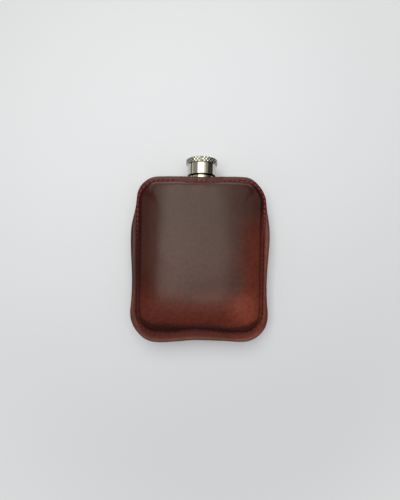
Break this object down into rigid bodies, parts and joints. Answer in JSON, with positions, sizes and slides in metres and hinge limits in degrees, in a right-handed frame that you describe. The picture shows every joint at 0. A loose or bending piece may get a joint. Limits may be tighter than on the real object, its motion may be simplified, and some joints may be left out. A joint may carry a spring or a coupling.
{
  "type": "leather-wrapped hip flask",
  "caption": "Flat steel hip flask sewn into a moulded two-panel leather cover with a wavy stitched flange, and closed by a knurled screw cap.",
  "frame": {"origin": "middle of the flat leather back, on the surface the flask lies on", "axes": "+Y along the neck towards the cap, +Z out of the swollen front, +X to the right seen from the front"},
  "size_m": [0.1046, 0.1384, 0.0291],
  "materials": {
    "leather": "waxed oxblood pull-up leather, wet moulded",
    "thread": "waxed dark red sewing thread",
    "vessel_steel": "satin drawn stainless steel",
    "polished_steel": "polished stainless steel",
    "insert_plastic": "moulded black polypropylene",
    "seal_rubber": "soft silicone"
  },
  "bodies": {
    "flask": {"leather_front": "leather", "leather_back": "leather", "seam_thread_front": "thread", "seam_thread_back": "thread", "body_band": "vessel_steel", "shoulder": "vessel_steel", "base": "vessel_steel", "neck": "vessel_steel", "neck_collar": "polished_steel"},
    "seal": {"cap_seal": "seal_rubber"},
    "cap": {"cap_shell": "polished_steel", "cap_insert": "insert_plastic"}
  },
  "joints": [
    {"name": "cap_lift", "type": "slide", "parent": "flask", "child": "seal", "axis": [0, 1, 0], "range_m": [0, 0.012]},
    {"name": "cap_turn", "type": "hinge", "parent": "seal", "child": "cap", "pos_m": [0, 0.0605, 0.01505], "axis": [0, 1, 0], "range_deg": [0, 1440]}
  ],
  "couplings": [
    {"joint": "cap_lift", "follows": "cap_turn", "m_per_rad": 0.00047746}
  ]
}
